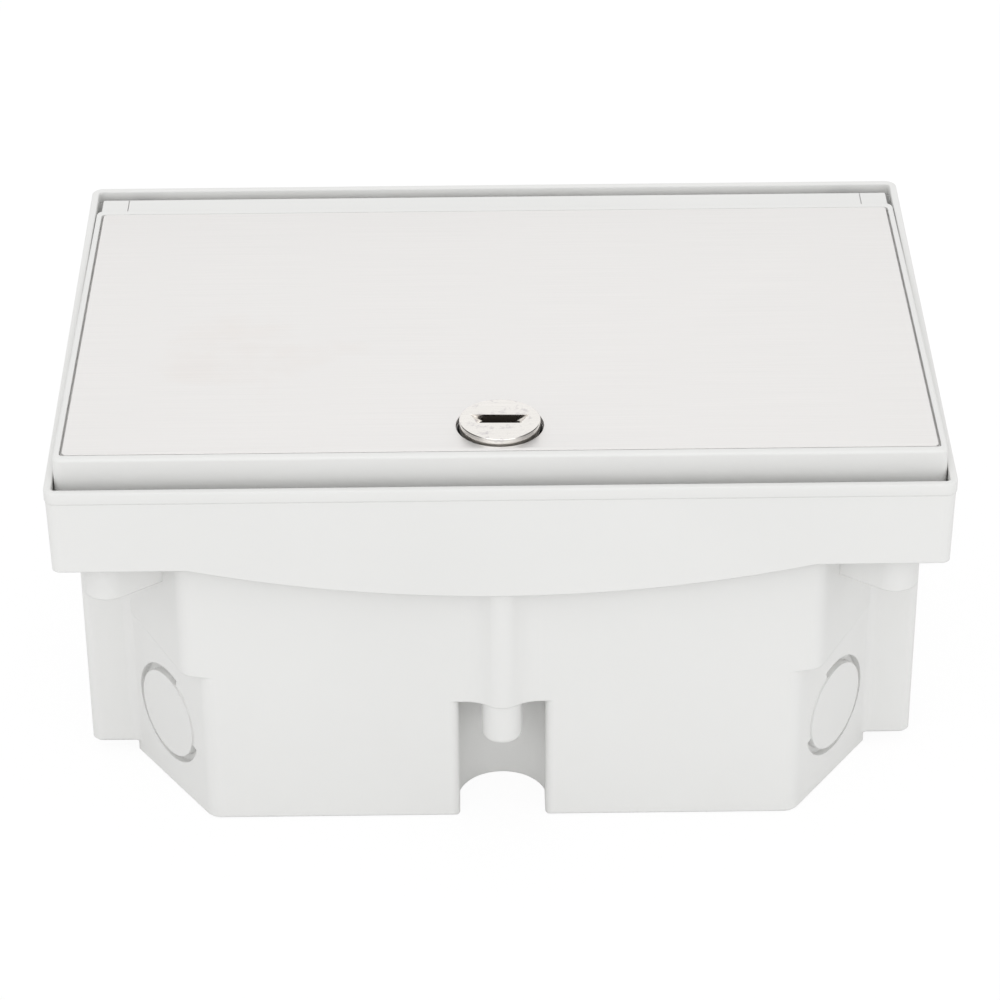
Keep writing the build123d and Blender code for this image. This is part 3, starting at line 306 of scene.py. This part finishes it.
def brushed(name, clean_and_unshaded, stained, rough_low, rough_high, across_scale, patches, depth):
    """A brushed metal: its clean and stained tints, roughness, line spacing and size of its stains."""
    material = bpy.data.materials.new(name)
    material.use_nodes = True
    nodes, links = material.node_tree.nodes, material.node_tree.links
    shader = nodes["Principled BSDF"]
    shader.inputs["Metallic"].default_value = 1
    surface = nodes.new("ShaderNodeGroup")
    surface.node_tree = brushing
    surface.inputs["Across"].default_value = across_scale
    surface.inputs["Patches"].default_value = patches
    tint = nodes.new("ShaderNodeMix")
    tint.data_type = "RGBA"
    tint.inputs["A"].default_value = (*clean_and_unshaded, 1)
    tint.inputs["B"].default_value = (*stained, 1)
    tone = nodes.new("ShaderNodeMapRange")
    tone.inputs["From Min"].default_value = 0.3
    tone.inputs["From Max"].default_value = 0.7
    tone.inputs["To Min"].default_value = 0.955
    tone.inputs["To Max"].default_value = 1.03
    shaded = nodes.new("ShaderNodeVectorMath")
    shaded.operation = "SCALE"
    rough = nodes.new("ShaderNodeMapRange")
    rough.inputs["From Min"].default_value = 0.3
    rough.inputs["From Max"].default_value = 0.7
    rough.inputs["To Min"].default_value = rough_low
    rough.inputs["To Max"].default_value = rough_high
    relief = nodes.new("ShaderNodeBump")
    relief.inputs["Distance"].default_value = depth
    relief.inputs["Strength"].default_value = 0.3
    links.new(surface.outputs["Stains"], tint.inputs["Factor"])
    links.new(surface.outputs["Lines"], tone.inputs["Value"])
    links.new(tint.outputs["Result"], shaded.inputs[0])
    links.new(tone.outputs[0], shaded.inputs["Scale"])
    links.new(shaded.outputs[0], shader.inputs["Base Color"])
    links.new(surface.outputs["Lines"], rough.inputs["Value"])
    links.new(rough.outputs[0], shader.inputs["Roughness"])
    links.new(surface.outputs["Lines"], relief.inputs["Height"])
    links.new(relief.outputs[0], shader.inputs["Normal"])
    return material


plate_steel = brushed("brushed_plate", (0.87, 0.857, 0.845), (0.85, 0.815, 0.79), 0.44, 0.58,
                      3800, 13, 0.00002)
lock_y = -0.058
plate_hole_radius = 0.011
bpy.ops.object.select_all(action="DESELECT")
bpy.ops.mesh.primitive_cube_add(size=1, location=(0, -0.00405, 0.105325), scale=(0.2173, 0.1333, 0.00165))
plate = bpy.context.object
plate.name = "steel_cover_plate"
bpy.ops.object.transform_apply(location=True, rotation=True, scale=True)
edit(plate, "EDGE", upright)
bpy.ops.mesh.bevel(offset=0.001, segments=5)
bpy.ops.object.mode_set(mode="OBJECT")
bpy.ops.mesh.primitive_cylinder_add(vertices=160, radius=plate_hole_radius, depth=0.01,
                                    location=(0, lock_y, 0.105))
punch = bpy.context.object
bpy.ops.object.select_all(action="DESELECT")
plate.select_set(True)
bpy.context.view_layer.objects.active = plate
hole = plate.modifiers.new("lock_hole", "BOOLEAN")
hole.object = punch
hole.solver = "EXACT"
bpy.ops.object.modifier_apply(modifier=hole.name)
bpy.data.objects.remove(punch)
softened = plate.modifiers.new("edges", "BEVEL")
softened.width = 0.0003
softened.segments = 3
softened.angle_limit = radians(50)
bpy.ops.object.modifier_apply(modifier=softened.name)
bpy.ops.object.shade_smooth_by_angle(angle=radians(35))


def ajar(piece):
    """Turns a piece that was modelled on the shut lid up to the slightly open lid, about the hinge."""
    hinge = Vector((0, 0.0694, 0.1))
    turn = Matrix.Rotation(radians(-2.4), 4, "X")
    piece.data.transform(Matrix.Translation(hinge) @ turn @ Matrix.Translation(-hinge))


ajar(plate)
plate.data.materials.append(plate_steel)
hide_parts("cover_plate")
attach(plate, "lid")

# Lock bush: the dark moulded cup in the lid in which the lock turns. Only its rim shows, as a black ring
# round the knob.
# # This near-black is partly the cup's own dark colour and partly painted shade, so that the deep gap
# round the knob reads black.
black_plastic = moulded("black_plastic", (0.022, 0.022, 0.024), (0.018, 0.018, 0.02), 0.15, 0.0002)
dress("lock_housing", black_plastic)

# Lock knob: a turned brass disc, chromed and worn by coins, with a slot whose ends slope up towards
# the rim so that a coin finds it. Its barrel and the stub for the cam hang below it in one piece.
chrome = brushed("chrome", (0.87, 0.845, 0.81), (0.64, 0.61, 0.62), 0.10, 0.17, 900, 420, 0.000002)
nodes, links = chrome.node_tree.nodes, chrome.node_tree.links
shader = nodes["Principled BSDF"]
place = nodes.new("ShaderNodeTexCoord")
parts = nodes.new("ShaderNodeSeparateXYZ")
# The slot's deep middle is painted black as shade: near the middle in x and y, and below the knob's top
# # by more than 0.45 mm, measured square to the tilted lid. There the chrome is replaced by a near-black,
# # non-metallic colour, which is painted shade of the deep slot.
middle = nodes.new("ShaderNodeMath")
middle.operation = "COMPARE"
middle.inputs[1].default_value = 0
middle.inputs[2].default_value = 0.00425
slot_line = nodes.new("ShaderNodeMath")
slot_line.operation = "COMPARE"
slot_line.inputs[1].default_value = -0.0576
slot_line.inputs[2].default_value = 0.0023
height = nodes.new("ShaderNodeVectorMath")
height.operation = "DOT_PRODUCT"
height.inputs[1].default_value = (0, 0.041876, 0.999123)
deep = nodes.new("ShaderNodeMath")
deep.operation = "LESS_THAN"
deep.inputs[1].default_value = 0.110268
both = nodes.new("ShaderNodeMath")
both.operation = "MULTIPLY"
slot_shade_mask = nodes.new("ShaderNodeMath")
slot_shade_mask.operation = "MULTIPLY"
clean_and_unshaded = nodes.new("ShaderNodeMath")
clean_and_unshaded.operation = "SUBTRACT"
clean_and_unshaded.inputs[0].default_value = 1
# Painted shade: near-black colour laid over the chrome inside the slot's deep middle.
painted_slot_shade = nodes.new("ShaderNodeMix")
painted_slot_shade.data_type = "RGBA"
painted_slot_shade.inputs["B"].default_value = (0.035, 0.030, 0.025, 1)
links.new(place.outputs["Object"], parts.inputs[0])
links.new(place.outputs["Object"], height.inputs[0])
links.new(parts.outputs["X"], middle.inputs[0])
links.new(parts.outputs["Y"], slot_line.inputs[0])
links.new(height.outputs["Value"], deep.inputs[0])
links.new(middle.outputs[0], both.inputs[0])
links.new(slot_line.outputs[0], both.inputs[1])
links.new(both.outputs[0], slot_shade_mask.inputs[0])
links.new(deep.outputs[0], slot_shade_mask.inputs[1])
links.new(slot_shade_mask.outputs[0], clean_and_unshaded.inputs[1])
links.new(clean_and_unshaded.outputs[0], shader.inputs["Metallic"])
links.new(shader.inputs["Base Color"].links[0].from_socket, painted_slot_shade.inputs["A"])
links.new(slot_shade_mask.outputs[0], painted_slot_shade.inputs["Factor"])
links.new(painted_slot_shade.outputs["Result"], shader.inputs["Base Color"])

knob_radius = 0.0102
knob_height = 0.007
knob_middle = 0.1044
barrel_radius = 0.005
barrel_length = 0.0107
stub_radius = 0.003
stub_length = 0.0047
bpy.ops.object.select_all(action="DESELECT")
bpy.ops.mesh.primitive_cylinder_add(vertices=160, radius=knob_radius, depth=knob_height,
                                    location=(0, lock_y, knob_middle))
knob = bpy.context.object
knob.name = "coin_lock_knob"
bpy.ops.object.transform_apply(location=True, rotation=True, scale=True)
edit(knob, "FACE", lambda corners: level_face(corners) and corners[0].z < 0.102)
bpy.ops.mesh.inset(thickness=knob_radius - barrel_radius)
bpy.ops.mesh.extrude_region_move(TRANSFORM_OT_translate={"value": (0, 0, -barrel_length)})
bpy.ops.mesh.inset(thickness=barrel_radius - stub_radius)
bpy.ops.mesh.extrude_region_move(TRANSFORM_OT_translate={"value": (0, 0, -stub_length)})
bpy.ops.object.mode_set(mode="OBJECT")
edit(knob, "EDGE", lambda ends: level_face(ends) and ends[0].z > 0.1078)
bpy.ops.mesh.bevel(offset=0.0004, segments=4)
bpy.ops.object.mode_set(mode="OBJECT")

slot_mouth_length = 0.0156
slot_floor_length = 0.0084
slot_width = 0.0042
ramp_height = 0.00204
ramp_foot = 0.10606
bpy.ops.object.select_all(action="DESELECT")
bpy.ops.mesh.primitive_cube_add(size=1, location=(0, lock_y, ramp_foot + ramp_height / 2),
                                scale=(slot_mouth_length, slot_width, ramp_height))
coin_slot = bpy.context.object
bpy.ops.object.transform_apply(location=True, rotation=True, scale=True)
edit(coin_slot, "FACE", lambda corners: level_face(corners) and corners[0].z < 0.107)
bpy.ops.transform.resize(value=(slot_floor_length / slot_mouth_length, 1, 1),
                         center_override=(0, lock_y, ramp_foot))
bpy.ops.mesh.extrude_region_move(TRANSFORM_OT_translate={"value": (0, 0, -0.0022)})
bpy.ops.object.mode_set(mode="OBJECT")
bpy.ops.object.select_all(action="DESELECT")
knob.select_set(True)
bpy.context.view_layer.objects.active = knob
cut = knob.modifiers.new("coin_slot", "BOOLEAN")
cut.object = coin_slot
cut.solver = "EXACT"
bpy.ops.object.modifier_apply(modifier=cut.name)
bpy.data.objects.remove(coin_slot)
worn = knob.modifiers.new("worn_edges", "BEVEL")
worn.width = 0.00015
worn.segments = 3
worn.angle_limit = radians(40)
bpy.ops.object.modifier_apply(modifier=worn.name)
bpy.ops.object.shade_smooth_by_angle(angle=radians(35))
ajar(knob)
knob.data.materials.append(chrome)
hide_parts("lock_knob")
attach(knob, "lock")

# Small steel parts: hinge brackets, carrier, stiffener, cam and screws, bright zinc plated. The
# plating is slightly uneven and duller in patches.
zinc = brushed("zinc", (0.66, 0.67, 0.68), (0.55, 0.56, 0.58), 0.32, 0.5, 1400, 45, 0.00002)
for node in ("hinge_bracket_left", "hinge_bracket_right", "bracket_screws", "module_carrier",
             "carrier_screws", "collar_screws", "clamp_screws", "lid_stiffener", "stiffener_screws",
             "hinge_pins", "lock_cam"):
    dress(node, zinc)

# Brass contacts, clips, terminal screws and the cam's nut, drawn and slightly tarnished.
brass = brushed("brass", (0.80, 0.62, 0.32), (0.60, 0.42, 0.20), 0.22, 0.4, 1800, 120, 0.00001)
for node in ("cam_nut", "terminal_screws", "contact_tubes_1", "contact_tubes_2", "contact_tubes_3",
             "earth_clips_1", "earth_clips_2", "earth_clips_3"):
    dress(node, brass)

# Sockets, data modules, blank, clamps and terminal block: white glossy plastic, moulded to fine
# edges. The jacks are black.
white_plastic = moulded("white_plastic", (0.82, 0.82, 0.80), (0.80, 0.80, 0.785), 0.05, 0.0003)
for node in ("power_socket_1", "power_socket_2", "power_socket_3", "data_module_1", "data_module_2",
             "blank_module", "cable_clamp_left", "cable_clamp_right", "terminal_block"):
    dress(node, white_plastic)
for node in ("data_jack_1", "data_jack_2", "data_jack_3", "data_jack_4"):
    dress(node, black_plastic)
dress("circuit_divider", pale_plastic)

# Lid seal and bumpers: black moulded rubber, matt and faintly bloomed.
rubber = moulded("black_rubber", (0.035, 0.035, 0.036), (0.025, 0.025, 0.026), 0.4, 0.0003)
dress("lid_seal", rubber)
dress("lid_bumpers", rubber)
